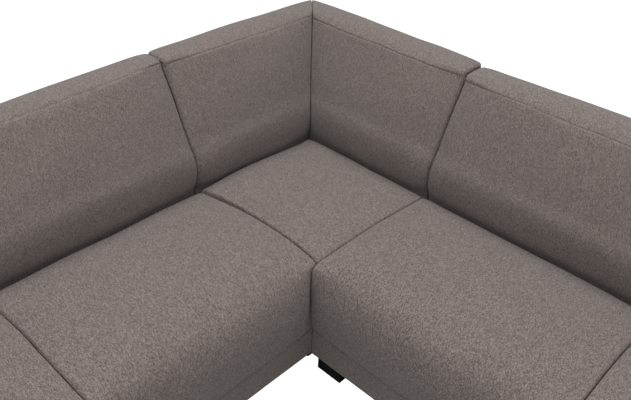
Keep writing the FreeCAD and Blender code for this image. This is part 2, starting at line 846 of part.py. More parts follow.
# Frames
nodes["left_front_rail"] = [left_rail]
nodes["left_rear_panel"] = [left_rear]
nodes["left_cross_panels"] = drill(left_panels, corner_plate_holes)
nodes["corner_end_panel"] = drill([corner_end_panel], socket_holes)
nodes["corner_rear_panel"] = [corner_rear_panel]
nodes["corner_unit_spring_rails"] = left_spring_rails + [corner_spring_rail]
nodes["right_front_rail"] = [right_rail]
nodes["right_rear_panel"] = [right_rear]
nodes["right_cross_panels"] = drill(right_panels, right_plate_holes + hook_holes)
nodes["right_spring_rails"] = right_spring_rails
nodes["left_back_posts"] = drill(left_posts, corner_plate_holes)
nodes["corner_back_posts"] = drill(corner_posts, corner_plate_holes)
nodes["right_back_posts"] = drill(right_posts, right_plate_holes)
nodes["left_top_rail"] = [left_top_rail]
nodes["corner_top_rails"] = corner_top_rails
nodes["right_top_rail"] = [right_top_rail]
nodes["left_back_hardboard"] = [left_hardboard]
nodes["corner_back_hardboards"] = corner_hardboards
nodes["right_back_hardboard"] = [right_hardboard]
nodes["left_arm_boards"] = left_arm_boards
nodes["right_arm_boards"] = right_arm_boards

# Suspension and sheets
nodes["left_seat_springs"] = left_springs
nodes["corner_seat_springs"] = corner_springs
nodes["right_seat_springs"] = right_springs
nodes["corner_unit_spring_clips"] = left_clips + corner_clips
nodes["right_spring_clips"] = right_clips
nodes["corner_unit_deck_felts"] = [felt_left, felt_corner]
nodes["right_deck_felt"] = [right_felt]
nodes["corner_unit_dust_covers"] = drill([left_dust, corner_dust], corner_foot_holes)
nodes["right_dust_cover"] = drill([right_dust], right_foot_holes)

# Feet, metalwork and screws
nodes["corner_unit_feet"] = corner_feet
nodes["right_unit_feet"] = right_feet
nodes["corner_unit_foot_blocks"] = corner_blocks
nodes["right_unit_foot_blocks"] = right_blocks
nodes["corner_unit_foot_screws"] = corner_foot_screws
nodes["right_unit_foot_screws"] = right_foot_screws
nodes["corner_unit_joint_plates"] = drill(corner_plates, corner_plate_holes)
nodes["right_joint_plates"] = drill(right_plates, right_plate_holes)
nodes["corner_unit_plate_screws"] = corner_plate_screws
nodes["right_plate_screws"] = right_plate_screws
nodes["connector_sockets"] = sockets
nodes["connector_hooks"] = hooks

# The origin is on the floor below the middle of the whole sofa's box
low_x = -back_depth
high_x = right.end + arm_width
high_y = back_depth
low_y = -(left.end + arm_width)
move = Vector(-(low_x + high_x) / 2, -(low_y + high_y) / 2, 0.0)

os.makedirs("parts", exist_ok=True)
for name, solids in nodes.items():
    shape = solids[0] if len(solids) == 1 else Part.makeCompound(solids)
    shape.translate(move)
    shape.exportStep("parts/" + name + ".step")
    box = shape.BoundBox
    print(name, len(solids), "solids, valid", shape.isValid(), "volume", round(shape.Volume / 1e6, 3),
          "z", round(box.ZMin, 1), round(box.ZMax, 1))
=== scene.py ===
import math

import bmesh
import bpy
import numpy as np
from mathutils import Matrix, Vector


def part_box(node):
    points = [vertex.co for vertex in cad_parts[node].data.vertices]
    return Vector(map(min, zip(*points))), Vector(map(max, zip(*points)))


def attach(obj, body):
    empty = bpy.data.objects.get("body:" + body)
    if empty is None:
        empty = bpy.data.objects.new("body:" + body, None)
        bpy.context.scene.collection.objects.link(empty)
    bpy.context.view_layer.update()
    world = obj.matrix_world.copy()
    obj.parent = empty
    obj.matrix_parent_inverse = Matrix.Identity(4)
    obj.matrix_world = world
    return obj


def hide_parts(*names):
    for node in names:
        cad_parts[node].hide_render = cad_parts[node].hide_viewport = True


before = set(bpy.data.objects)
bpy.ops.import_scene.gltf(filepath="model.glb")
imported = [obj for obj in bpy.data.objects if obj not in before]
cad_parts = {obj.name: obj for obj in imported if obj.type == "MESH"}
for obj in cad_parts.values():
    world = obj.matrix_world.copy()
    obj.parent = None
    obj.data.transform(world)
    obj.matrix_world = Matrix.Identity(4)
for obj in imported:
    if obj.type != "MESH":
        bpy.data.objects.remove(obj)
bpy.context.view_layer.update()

# The looks of an upholstered corner sofa, in metres, in the row's frame. A cushion is a closed
# strip: an outer skin that runs across it, an inner skin against the frame, and two ends.

# Plan and heights, the same as the solids have
CORNER_X = 0.552                # crease corner to the joint with the right unit
CORNER_Y = 0.540                # crease corner to the left wing's first seat
DEPTHS = {"left": 0.557, "right": 0.550}
LEFT_WIDTH = 0.757
RIGHT_WIDTH = 0.810
ARM_WIDTH = 0.180
BACK_DEPTH = 0.243
PLINTH_TOP = 0.162
CREASE_Z = 0.422
BACK_Z = 0.849                  # corner backs
WING_BACK_Z = {"left": 0.846, "right": 0.840}
ARM_Z = 0.620
DECK = 0.3053
FRAME_TOP = 0.793
FRAME_REAR = 0.236
RAIL_SET = 0.025                # front plane to the front rail
SEAM = 0.0011                   # half the gap at a seam
UNIT = 0.0015                   # half the gap between the units
DUST_TOP = 0.056
LEFT_END = CORNER_Y + 2 * LEFT_WIDTH
RIGHT_END = CORNER_X + 2 * RIGHT_WIDTH
CREASE = ((BACK_DEPTH - RIGHT_END - ARM_WIDTH) / 2, (LEFT_END + ARM_WIDTH - BACK_DEPTH) / 2)
BODIES = {"left": "corner_unit", "right": "right_unit"}
SPANS = {                       # wing, start and end of the seats and the backs
    "left_inner": ("left", CORNER_Y + SEAM, CORNER_Y + LEFT_WIDTH - SEAM),
    "left_outer": ("left", CORNER_Y + LEFT_WIDTH + SEAM, LEFT_END - SEAM),
    "right_inner": ("right", CORNER_X + UNIT, CORNER_X + RIGHT_WIDTH - SEAM),
    "right_outer": ("right", CORNER_X + RIGHT_WIDTH + SEAM, RIGHT_END - SEAM),
}

# Forms of the seats
SEAT_CROWN = 0.020
SEAT_BELLY = 0.004
SEAT_DRAW = 0.006
SEAT_ROUND = 0.008
SEAT_ROUND_LOW = 0.014          # beside the crease
NOSE = 0.110                    # rounding of a seat's front edge in its middle
NOSE_END = 0.034                # and at its ends
NOSE_BLEND = 0.150
NOSE_BULGE = {"left": 0.012, "right": 0.017}
HEM_BULGE = 0.002
HEM_END = 0.008                 # the front meets the hem this far above the plinth
FACE_BULGE = 0.004
CREASE_GAP = 0.005
FIT = 0.0007                    # between a cover and the frame behind it

# Forms of the backs
BACK_SWELL = 0.015
BACK_SWELL_RISE = 0.060
BACK_WAIST = 0.016
BACK_WAIST_RISE = 0.168
BACK_FOOT_SET = 0.009           # the foot stands this far behind the crease
BACK_FOOT_TURN = ((-BACK_FOOT_SET, -0.006), (0.004, 0.012))   # comes forward at the crease
BAND_RIGHT = (0.122, 0.024)     # the seam below the top band: behind the crease, below the top
BAND_CORNER_LEFT = (0.130, 0.016)
BAND_LEFT = (0.146, 0.010)
BAND_SLOPE = 0.018              # seam to where the band is level
BACK_REAR_EDGE = 0.016
REAR_EDGE_SHARE = 0.3           # where the round of that edge has its middle
BACK_BELLY = 0.004
BACK_DRAW = 0.015
TOP_SHARE = 0.35                # share of that draw on the top band
BACK_ROUND = 0.009
BACK_LEAN = 0.122
FOAM_FOOT = 0.061
FOAM_BEHIND = 0.034
FLAP = 0.036                    # how far the cover comes down behind

# What the sewing does to a cushion's plan and top. A pair is a start and a run to full strength.
SEAM_BOW = 0.021                # how far the seam of the left wing's first seat bends to the corner
BOW_LENGTH = 0.56
BOW_SKEW = 1.3                  # moves the deepest place forward
BOW_FULLNESS = 0.7
BOW_REACH = 0.11
BOW_HEIGHT = (0.33, 0.07)
SLOPE_HEIGHT = (0.62, 0.2)
TOP_SLOPE = 0.005
LEFT_TOP_FALL = (0.014, 0.56)   # drop and length, of the left wing's backs
RIGHT_TOP_START = 0.002
RIGHT_TOP_RUN = 0.3
JOINT_ROOM = 0.04               # the left seat clears the joint, up to the front of the right one
JOINT_ROOM_RUN = 0.03
JOINT_ROOM_LEAD = 0.002

# The mesh of a cushion
DRAW_REACH = 0.060
LOW_SHARE = 0.4                 # share of belly and draw at the low edge
LOW_RUN = 0.08
KEY_BLEND = 0.03
PITCH = 0.017                   # spacing of the mesh
EDGE_PLACES = (0.0015, 0.0035, 0.006, 0.010, 0.016, 0.024)    # from an edge or a seam
END_MARGIN = EDGE_PLACES[-1]
LEAST_STEP = 0.0006
THICK_STEPS = 4
ARC_STEPS = 30
FINE_STEP = 0.002
START_IN = 0.0015               # a cover starts this much smaller
TINY = 1e-9


# Curves and strips


def arc(a, via, b):
    """Points on the circle through three points, without the first."""
    a, via, b = (complex(*p) for p in (a, via, b))
    w = (b - a) / (via - a)
    numbers = range(1, ARC_STEPS + 1)
    if abs(w.imag) < TINY:
        straight = [a + (b - a) * n / ARC_STEPS for n in numbers]
        return [(p.real, p.imag) for p in straight]
    middle = a - (a - via) * (w - abs(w) ** 2) / (2j * w.imag)
    start, passed, end = (math.atan2((p - middle).imag, (p - middle).real) for p in (a, via, b))
    full = 2 * math.pi
    turn = (end - start) % full
    if (passed - start) % full > turn:
        turn -= full
    r = abs(a - middle)
    angles = [start + turn * n / ARC_STEPS for n in numbers]
    return [(middle.real + r * math.cos(t), middle.imag + r * math.sin(t)) for t in angles]


def lengths(points):
    return np.concatenate([[0.0], np.cumsum(np.linalg.norm(np.diff(points, axis=0), axis=1))])


def along(points, where):
    run = lengths(points)
    return np.stack([np.interp(where, run, points[:, k]) for k in (0, 1)], axis=1)


def fine(points):
    """The same line with a point at every FINE_STEP or so."""
    total = lengths(points)[-1]
    return along(points, np.linspace(0, total, int(total / FINE_STEP) + 2))


def soften(points, sigma):
    """Rounds a polyline's corners, with its ends held."""
    points = np.array(points, float)
    dense = fine(points)
    step = lengths(points)[-1] / (len(dense) - 1)
    reach = int(3 * sigma / step) + 1
    kernel = np.exp(-0.5 * (np.arange(-reach, reach + 1) * step / sigma) ** 2)
    kernel /= kernel.sum()
    before = 2 * dense[0] - dense[reach:0:-1]
    after = 2 * dense[-1] - dense[-2:-reach - 2:-1]
    extended = np.concatenate([before, dense, after])
    return np.stack([np.convolve(extended[:, k], kernel, "valid") for k in (0, 1)], axis=1)


def key_runs(points, keys):
    """How far along a chain its ends and its keys lie."""
    run = lengths(points)
    near = [run[np.argmin(np.linalg.norm(points - np.array(k), axis=1))] for k in keys]
    return np.array([0.0] + near + [run[-1]])


def rounded(a, r):
    """How far a quarter-round edge of radius r falls away at distance a from the edge."""
    if r <= 0:
        return np.zeros_like(a)
    inside = np.clip(r - a, 0, r)
    return r - np.sqrt(r * r - inside * inside)


def smoothstep(x):
    x = np.clip(x, 0, 1)
    return x * x * (3 - 2 * x)


def sets_in(x, start_and_run):
    start, run = start_and_run
    return smoothstep((x - start) / run)


def filled(fixed, least, pitch):
    """The fixed places that are at least so far apart, with more between them."""
    places = [fixed[0]]
    for p in fixed[1:]:
        gap = p - places[-1]
        if gap < least:
            continue
        parts = max(1, math.ceil(gap / pitch))
        places += [places[-1] + gap * n / parts for n in range(1, parts + 1)]
    return places


def spaced(total, dense_at):
    """Places from 0 to total, closer together near the given places."""
    fixed = {0.0, total}
    for c in dense_at:
        fixed.update([c], [c - n for n in EDGE_PLACES], [c + n for n in EDGE_PLACES])
    return np.array(filled(sorted(p for p in fixed if 0 <= p <= total), LEAST_STEP, PITCH))


def box_mesh(name, p):
    """A mesh of the outside of a block of points p[j, i, k], and where each point went."""
    index = np.arange(p[..., 0].size).reshape(p.shape[:3])
    sides = [index[:, :, 0], index[:, ::-1, -1], index[:, 0, ::-1], index[:, -1, :],
             index[0, ::-1, :], index[-1, :, :]]
    faces = []
    for side in sides:
        a, b, c, d = side[:-1, :-1], side[1:, :-1], side[1:, 1:], side[:-1, 1:]
        faces.append(np.stack([a, b, c, d], axis=-1).reshape(-1, 4))
    faces = np.concatenate(faces)
    used, compact = np.unique(faces, return_inverse=True)
    mesh = bpy.data.meshes.new(name)
    mesh.from_pydata(p.reshape(-1, 3)[used].tolist(), [], compact.reshape(-1, 4).tolist())
    mesh.update()
    consistent(mesh)
    where = np.full(index.size, -1)
    where[used] = np.arange(len(used))
    return mesh, where.reshape(index.shape)


def vertex_values(mesh, key):
    values = np.empty(len(mesh.vertices) * 3)
    mesh.vertices.foreach_get(key, values)
    return values.reshape(-1, 3)


def coords(mesh):
    return vertex_values(mesh, "co")


def put(mesh, co):
    mesh.vertices.foreach_set("co", co.ravel())
    mesh.update()


def consistent(mesh):
    """Turns the mesh inside out where its volume is negative."""
    mesh.calc_loop_triangles()
    co = coords(mesh)
    tri = np.empty(len(mesh.loop_triangles) * 3, int)
    mesh.loop_triangles.foreach_get("vertices", tri)
    a, b, c = (co[tri.reshape(-1, 3)[:, k]] for k in range(3))
    if np.einsum("ij,ij->i", a, np.cross(b, c)).sum() < 0:
        mesh.flip_normals()


WAVES = 5                       # to an octave
OCTAVE = 1.8                    # each is this much smaller than the one before
WAVE_SCALE = 3.2


def wave_field(p, seed, size, octaves=2):
    """A smooth field of three components, about 1 at most."""
    rng = np.random.default_rng(seed)
    out = np.zeros_like(p)
    for octave in range(octaves):
        for _ in range(WAVES):
            k = rng.normal(size=3)
            k *= 2 * math.pi / (size / OCTAVE ** octave) / np.linalg.norm(k)
            phase = rng.uniform(0, 2 * math.pi, 3)
            turn = p @ k
            out += np.sin(turn[:, None] + phase) / (WAVE_SCALE * OCTAVE ** octave)
    return out


def to_row(wing, s, d, z):
    """Right wing: s along +X. Left wing: s along -Y. d is forward of the crease."""
    if wing == "right":
        return np.stack([CREASE[0] + s, CREASE[1] - d, z], axis=-1)
    return np.stack([CREASE[0] + d, CREASE[1] - s, z], axis=-1)


def plan_box(wing, s, d, z):
    """The two corners of a box that is given by its ranges."""
    a, b = (to_row(wing, *(np.array(side[n]) for side in (s, d, z))) for n in (0, 1))
    return np.minimum(a, b), np.maximum(a, b)


def new_object(name, mesh, material):
    obj = bpy.data.objects.new(name, mesh)
    bpy.context.scene.collection.objects.link(obj)
    mesh.shade_smooth()
    mesh.materials.append(material)
    return obj


def smooth(obj):
    sub = obj.modifiers.new("smooth", "SUBSURF")
    sub.levels = sub.render_levels = 1


def hand_over(obj, body, node):
    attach(obj, body)
    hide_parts(node)


# Cushions


def plan_warp(co, node):
    """Slopes the tops of the backs, bends a seam of the seats and makes room at the joint."""
    u = co[:, 0] - CREASE[0]
    v = CREASE[1] - co[:, 1]
    top = sets_in(co[:, 2], SLOPE_HEIGHT)
    if node == "corner_left_back":
        co[:, 2] += TOP_SLOPE * top * np.clip(v / CORNER_Y, 0, 1)
    elif node.startswith("left") and node.endswith("back"):
        fall, length = LEFT_TOP_FALL
        co[:, 2] += top * (TOP_SLOPE - fall * np.clip((v - CORNER_Y) / length, 0, 1))
    elif node.startswith("right") and node.endswith("back"):
        rise = TOP_SLOPE * sets_in(u, (CORNER_X, RIGHT_TOP_RUN))
        co[:, 2] += top * (rise - RIGHT_TOP_START)
    elif node in ("corner_seat", "left_inner_seat"):
        bow = np.sin(math.pi * np.clip(u / BOW_LENGTH, 0, 1) ** BOW_SKEW) ** BOW_FULLNESS
        near = 1 - smoothstep(np.abs(v - CORNER_Y) / BOW_REACH)
        inside = (u > 0) * (u < BOW_LENGTH)
        co[:, 1] += SEAM_BOW * bow * near * sets_in(co[:, 2], BOW_HEIGHT) * inside
    if node == "left_inner_seat":
        front = DEPTHS["right"] + NOSE_BULGE["right"] - JOINT_ROOM_LEAD
        limit = CORNER_X - UNIT + JOINT_ROOM * sets_in(v, (front, JOINT_ROOM_RUN))
        co[:, 0] = np.minimum(co[:, 0], CREASE[0] + limit)


class Cushion:
    """A cushion across a wing. outer and inner are chains in (d, z), matched at their keys.

    Where s0 is None, it starts at the mitre of the two corner backs. Near its ends it takes the
    form of end_chain. free says how far from its low and its high edge the cover is held, and
    over what length it then comes free. draw and round pull its ends in."""

    def __init__(self, name, wing, outer, outer_keys, inner, inner_keys, s0, s1, **form):
        self.name = name
        self.form = form
        get = form.get
        outer_runs = key_runs(outer, outer_keys)
        inner_runs = key_runs(inner, inner_keys)
        total = outer_runs[-1]
        self.seams = [outer_runs[1]] if get("seam") else []
        a = spaced(total, [0.0, total] + self.seams)
        rows = np.interp(a, outer_runs, np.arange(len(outer_runs)))
        flat_in = along(inner, np.interp(rows, np.arange(len(inner_runs)), inner_runs))
        chain, inward = self.chain_at(outer, a)
        end_outer, end_keys = get("end_chain", (outer, outer_keys))
        end_runs = key_runs(end_outer, end_keys)
        end_places = np.interp(rows, np.arange(len(end_runs)), end_runs)
        end_chain, end_inward = self.chain_at(end_outer, end_places)

        # the stations across: dense edges that keep their size, and a middle that stretches
        mitred = s0 is None
        length = s1 - (0 if mitred else s0)
        edge = spaced(END_MARGIN, [0.0])[:-1]
        middle = np.linspace(0, 1, max(3, math.ceil((length - 2 * END_MARGIN) / PITCH) + 1))
        share = np.concatenate([np.zeros(len(edge)), middle, np.ones(len(edge))])
        offset = np.concatenate([edge, END_MARGIN * (1 - 2 * middle), -edge[::-1]])
        b0 = share * length + offset
        b1 = length - b0
        self.a, self.total, self.b0, self.b1 = a, total, b0, b1
        self.to_end = np.minimum(b0, b1)

        # how far the skin lies inside the chain, at every station and row
        t = np.clip(b0 / length, 0, 1)
        inset = np.full((len(b0), len(a)), START_IN)
        lift = 4 * t * (1 - t) * form["belly"]
        strength = smoothstep(a / LOW_RUN) * (1 - LOW_SHARE) + LOW_SHARE
        inset -= lift[:, None] * strength[None]
        if outer_keys:
            past = smoothstep((a - outer_runs[1] + KEY_BLEND) / (2 * KEY_BLEND))
            strength *= 1 - (1 - form["high_share"]) * past
        for end, b in (("start", b0), ("end", b1)):
            draw = get(f"draw_{end}", form["draw"])
            fall = draw * np.clip(1 - b / get(f"reach_{end}", DRAW_REACH), 0, 1) ** 2
            inset += fall[:, None] * strength[None]
            inset += rounded(b, get(f"round_{end}", form["round"]))[:, None]
        inset += rounded(a, get("round_low", 0.0))[None]
        inset += rounded(total - a, form["round_high"])[None]

        at_end = 1 - np.sin(np.clip(self.to_end / NOSE_BLEND, 0, 1) * math.pi / 2)
        at_end = at_end[:, None, None]
        inward = inward[None] * (1 - at_end) + end_inward[None] * at_end
        inward /= np.linalg.norm(inward, axis=-1, keepdims=True)
        skin = chain[None] * (1 - at_end) + end_chain[None] * at_end + inward * inset[..., None]
        k = np.linspace(0, 1, THICK_STEPS + 1)[:, None]
        block = skin[:, :, None, :] * (1 - k) + flat_in[None, :, None, :] * k
        d, z = block[..., 0], block[..., 1]
        start = d + SEAM if mitred else np.full_like(d, s0)
        s = start + share[:, None, None] * (s1 - start) + offset[:, None, None]
        self.mesh, self.where = box_mesh(name, to_row(wing, s, d, z))
        self.skin_index = self.where[:, :, 0]

    def chain_at(self, chain, where):
        """Places along a chain and the directions square to it, into the cushion."""
        total = lengths(chain)[-1]
        after = along(chain, np.clip(where + FINE_STEP, 0, total))
        before = along(chain, np.clip(where - FINE_STEP, 0, total))
        tangent = after - before
        tangent /= np.linalg.norm(tangent, axis=1)[:, None]
        inward = np.stack([tangent[:, 1], -tangent[:, 0]], axis=1)
        return along(chain, where), inward * self.form.get("side", 1)

    def freedom(self):
        """0 where the cover is held, 1 where its filling may push it out."""
        low, high, run = self.form["free"]
        rows = sets_in(self.a, (low, run)) * smoothstep((self.total - self.a - high) / run)
        return sets_in(self.to_end, (0.004, 0.035))[:, None] * rows[None]


SWELL = 0.006                   # the most that the filling pushes a cover out
HELD_BELOW = 0.02               # freedom below which a vertex is pinned
FRAMES = 20
CLOTH = {"quality": 2, "mass": 0.3, "tension_stiffness": 15, "compression_stiffness": 15,
         "shear_stiffness": 5, "bending_stiffness": 2.0, "vertex_group_mass": "held",
         "use_pressure": True, "uniform_pressure_force": 4.0}


def simulate(obj, cushion):
    """Lets the filling push the cover out, as a cloth held at its seams, and keeps the shape."""
    rest = coords(cushion.mesh)
    free = np.zeros(len(rest))
    free[cushion.skin_index.ravel()] = cushion.freedom().ravel()
    group = obj.vertex_groups.new(name="held")
    group.add(np.nonzero(free < HELD_BELOW)[0].tolist(), 1.0, "REPLACE")
    cloth = obj.modifiers.new("cloth", "CLOTH")
    for key, value in CLOTH.items():
        setattr(cloth.settings, key, value)
    cloth.settings.effector_weights.gravity = 0
    cloth.collision_settings.use_collision = False
    cloth.point_cache.frame_start = 1
    cloth.point_cache.frame_end = FRAMES
    scene = bpy.context.scene
    for n in range(1, FRAMES + 1):
        scene.frame_set(n)
    evaluated = obj.evaluated_get(bpy.context.evaluated_depsgraph_get())
    moved = coords(evaluated.to_mesh()) - rest
    evaluated.to_mesh_clear()
    obj.modifiers.remove(cloth)
    obj.vertex_groups.remove(group)
    scene.frame_set(1)
    if not np.isfinite(moved).all():
        moved[:] = 0
    size = np.linalg.norm(moved, axis=1)
    capped = SWELL * np.tanh(size / SWELL)
    moved *= np.where(size > TINY, capped / np.maximum(size, TINY), 0)[:, None]
    put(cushion.mesh, rest + moved * free[:, None])


PUCKER = 0.0011                 # ripples square to the ends, strongest at the seam
PUCKER_REACH = 0.018
PUCKER_WAVES = ((0.055, 0.5), (0.031, 0.35), (0.019, 0.2))    # length, height
BAND_WOBBLE = 0.0016
BAND_PROFILE = ((0.0, 0.0024, -0.0016), (0.008, 0.006, 0.0006), (-0.009, 0.007, 0.0004))
BAND_PUCKER = 0.0006
BAND_PUCKER_REACH = 0.013
BAND_WAVES = (0.024, 0.041)
BAND_END = 0.01                 # the band's seam fades over this much at the ends
WANDER = 0.0016
WANDER_SIZE = 0.30
WANDER_HEIGHT = (0.17, 0.06)
WANDER_SEED = 5


def detail(cushion, seed):
    """Seam grooves, puckers beside them and the small unevenness of a sewn cover."""
    mesh = cushion.mesh
    co = coords(mesh)
    normal = vertex_values(mesh, "normal")
    index = cushion.skin_index
    push = np.zeros(index.shape)
    rng = np.random.default_rng(seed)
    run, a = cushion.b0, cushion.a
    whole = 2 * math.pi
    for b in (cushion.b0, cushion.b1):
        ripple = np.zeros(len(a))
        for size, high in PUCKER_WAVES:
            phase = rng.uniform(0, 6.28)
            drift = np.interp(a, np.linspace(0, cushion.total, 7), rng.uniform(-1.5, 1.5, 7))
            ripple += high * np.sin(whole * a / size + phase + drift)
        strength = np.interp(a, np.linspace(0, cushion.total, 9), rng.uniform(0.2, 1.0, 9))
        push += PUCKER * np.exp(-(b / PUCKER_REACH) ** 2)[:, None] * (ripple * strength)[None]
    for at in cushion.seams:
        places = np.linspace(0, run[-1], 15)
        wobble = BAND_WOBBLE * np.interp(run, places, rng.uniform(-1, 1, len(places)))
        gap = (a - at)[None] - wobble[:, None]
        groove = sum(height * np.exp(-((gap - middle) / width) ** 2)
                     for middle, width, height in BAND_PROFILE)
        ripple = np.sin(whole * run / BAND_WAVES[0] + 2 * np.sin(run * 31)) * 0.5
        ripple += np.sin(whole * run / BAND_WAVES[1] + rng.uniform(0, 6)) * 0.5
        pucker = BAND_PUCKER * ripple[:, None] * np.exp(-(gap / BAND_PUCKER_REACH) ** 2)
        inside = smoothstep(cushion.to_end / BAND_END)[:, None]
        push += groove * (0.4 + 0.6 * inside) + pucker * inside
    flat = index.ravel()
    co[flat] += normal[flat] * push.ravel()[:, None]
    # the same slow wander for every piece, so that neighbours stay side by side
    weight = np.zeros(len(co))
    steps = cushion.where.shape[2]
    for k in range(steps):
        layer = cushion.where[:, :, k]
        weight[layer[layer >= 0]] = 1 - k / (steps - 1)
    wander = wave_field(co, WANDER_SEED, WANDER_SIZE) * WANDER
    co += wander * (weight * sets_in(co[:, 2], WANDER_HEIGHT))[:, None]
    put(mesh, co)


def finish_cushion(cushion, material, body, node, seed):
    obj = new_object(cushion.name, cushion.mesh, material)
    simulate(obj, cushion)
    detail(cushion, seed)
    co = coords(cushion.mesh)
    plan_warp(co, node)
    put(cushion.mesh, co)
    smooth(obj)
    hand_over(obj, body, node)


# Materials


class Look:
    """A material under construction."""

    def __init__(self, name, **settings):
        self.material = bpy.data.materials.new(name)
        self.material.use_nodes = True
        self.tree = self.material.node_tree
        self.shader = self.tree.nodes["Principled BSDF"]
        sockets = {socket.name.lower(): socket for socket in self.shader.inputs}
        for key, value in settings.items():
            sockets[key.replace("_", " ")].default_value = value
        where = self.node("ShaderNodeTexCoord")
        self.place = where.outputs["Object"]
        self.normal = where.outputs["Normal"]

    def node(self, kind, ins=None, **props):
        made = self.tree.nodes.new(kind)
        for key, value in props.items():
            setattr(made, key, value)
        for key, value in (ins or {}).items():
            if isinstance(value, bpy.types.NodeSocket):
                self.tree.links.new(value, made.inputs[key])
            else:
                made.inputs[key].default_value = value
        return made

    def math(self, operation, *values):
        return self.node("ShaderNodeMath", dict(enumerate(values)), operation=operation).outputs[0]

    def scaled(self, scale):
        scale = scale if hasattr(scale, "__len__") else (scale,) * 3
        return self.node("ShaderNodeMapping", {"Vector": self.place, "Scale": scale}).outputs[0]

    def noise(self, scale, detail=2.0, rough=0.5, distortion=0.0):
        return self.node("ShaderNodeTexNoise", {
            "Vector": self.scaled(scale), "Scale": 1.0, "Detail": detail, "Roughness": rough,
            "Distortion": distortion}).outputs["Fac"]

    def flecks(self, scale):
        """One random value to each cell."""
        cells = self.node("ShaderNodeTexVoronoi", {"Vector": self.scaled(scale), "Scale": 1.0})
        return self.node("ShaderNodeSeparateColor", {0: cells.outputs["Color"]}).outputs[0]

    def ramp(self, value, stops):
        made = self.node("ShaderNodeValToRGB", {"Fac": value})
        points = made.color_ramp.elements
        while len(points) < len(stops):
            points.new(0.5)
        for point, (at, colour) in zip(points, stops):
            point.position = at
            point.color = (*(colour if hasattr(colour, "__len__") else (colour,) * 3), 1)
        return made.outputs["Color"]

    def multiply(self, share, a, b):
        return self.node("ShaderNodeMix", {0: share, 6: a, 7: b}, data_type="RGBA",
                         blend_type="MULTIPLY").outputs[2]

    def finish(self, colour, height=None, distance=0.001, strength=1.0, roughness=None):
        self.tree.links.new(colour, self.shader.inputs["Base Color"])
        if roughness is not None:
            self.tree.links.new(roughness, self.shader.inputs["Roughness"])
        if height is not None:
            bump = self.node("ShaderNodeBump", {
                "Height": height, "Distance": distance, "Strength": strength})
            self.tree.links.new(bump.outputs[0], self.shader.inputs["Normal"])
        return self.material


SOFA_COLOUR = (0.192, 0.163, 0.150)
YARN_WIDE = 720                 # yarn flecks to a metre across the yarns
YARN_LONG = 250                 # and along them
YARN_TONES = ((0.0, 0.42), (0.35, 0.78), (0.65, 1.14), (1.0, 1.80))
WEAVE_PITCH = 0.0030
WEAVE_BEND = 0.0016


def weave_height(look):
    """Crossing threads on whichever plane a face lies near."""
    bend = look.node("ShaderNodeTexNoise", {"Vector": look.place, "Scale": 70.0, "Detail": 1.0})
    moved = look.node("ShaderNodeVectorMath", {0: bend.outputs["Color"], 3: WEAVE_BEND},
                      operation="SCALE")
    moved = look.node("ShaderNodeVectorMath", {0: look.place, 1: moved.outputs[0]},
                      operation="ADD")
    split = look.node("ShaderNodeSeparateXYZ", {0: moved.outputs[0]})
    turn = 2 * math.pi / WEAVE_PITCH
    waves = [look.math("SINE", look.math("MULTIPLY", split.outputs[k], turn)) for k in range(3)]
    normal = look.node("ShaderNodeSeparateXYZ", {0: look.normal})
    total = None
    for k in range(3):
        pair = look.math("MULTIPLY", waves[(k + 1) % 3], waves[(k + 2) % 3])
        share = look.math("MULTIPLY", normal.outputs[k], normal.outputs[k])
        term = look.math("MULTIPLY", pair, share)
        total = term if total is None else look.math("ADD", total, term)
    return total


def melange(name, run, contrast=0.62, sheen=0.15):
    """Woven cloth of mixed light and dark yarns, with painted shade where the weave lies low. run
    is the axis that the yarns lie square to.
    """
    look = Look(name, roughness=0.92, specular_ior_level=0.25, sheen_weight=sheen,
                sheen_roughness=0.45)
    base = np.array(SOFA_COLOUR)
    scale = [YARN_LONG] * 3
    scale[run] = YARN_WIDE
    yarn = look.flecks(scale)
    stops = [(at, tuple(base * (1 + (value - 1) * contrast))) for at, value in YARN_TONES]
    fibre = look.noise(900, 1.0)
    colour = look.multiply(0.30, look.ramp(yarn, stops),
                           look.ramp(fibre, [(0.3, 0.62), (0.7, 1.0)]))
    tone = look.noise(7.0, 3.0)
    colour = look.multiply(0.6, colour, look.ramp(tone, [(0.3, 0.94), (0.7, 1.0)]))
    height = weave_height(look)
    # painted shade: the colour is darker where the weave lies low, between the threads
    gap = look.ramp(look.math("MULTIPLY_ADD", height, 0.5, 0.5), [(0.0, 0.80), (0.6, 1.0)])
    colour = look.multiply(0.5, colour, gap)
    full = look.math("MULTIPLY_ADD", fibre, 0.8, look.math("MULTIPLY", height, 0.5))
    return look.finish(colour, full, 0.0007, 0.6)


def chipboard():
    look = Look("chipboard", roughness=0.75)
    colour = look.ramp(look.flecks((180, 180, 420)), [
        (0.0, (0.30, 0.20, 0.11)), (0.5, (0.50, 0.37, 0.23)), (1.0, (0.66, 0.53, 0.36))])
    colour = look.multiply(0.4, colour, look.ramp(look.noise(900), [(0.3, 0.7), (0.7, 1.0)]))
    return look.finish(colour, look.noise(700, 3.0), 0.0005, 0.5)


def pine():
    look = Look("pine", roughness=0.6)
    rings = look.node("ShaderNodeTexWave", {
        "Vector": look.scaled((16, 60, 60)), "Scale": 1.0, "Distortion": 5.0, "Detail": 2.0,
        "Detail Scale": 1.2}, bands_direction="Z").outputs["Fac"]
    colour = look.ramp(rings, [
        (0.0, (0.62, 0.42, 0.22)), (0.6, (0.72, 0.53, 0.31)), (1.0, (0.50, 0.31, 0.15))])
    grain = look.noise((25, 500, 500), 2.0)
    colour = look.multiply(0.35, colour, look.ramp(grain, [(0.35, 0.75), (0.6, 1.0)]))
    return look.finish(colour, grain, 0.0004, 0.5)


def hardboard():
    look = Look("hardboard", roughness=0.7)
    fibres = look.noise((240, 240, 240), 4.0, 0.7)
    colour = look.ramp(fibres, [(0.3, (0.16, 0.085, 0.045)), (0.7, (0.30, 0.18, 0.10))])
    return look.finish(colour, look.noise(500, 3.0), 0.0003, 0.5)


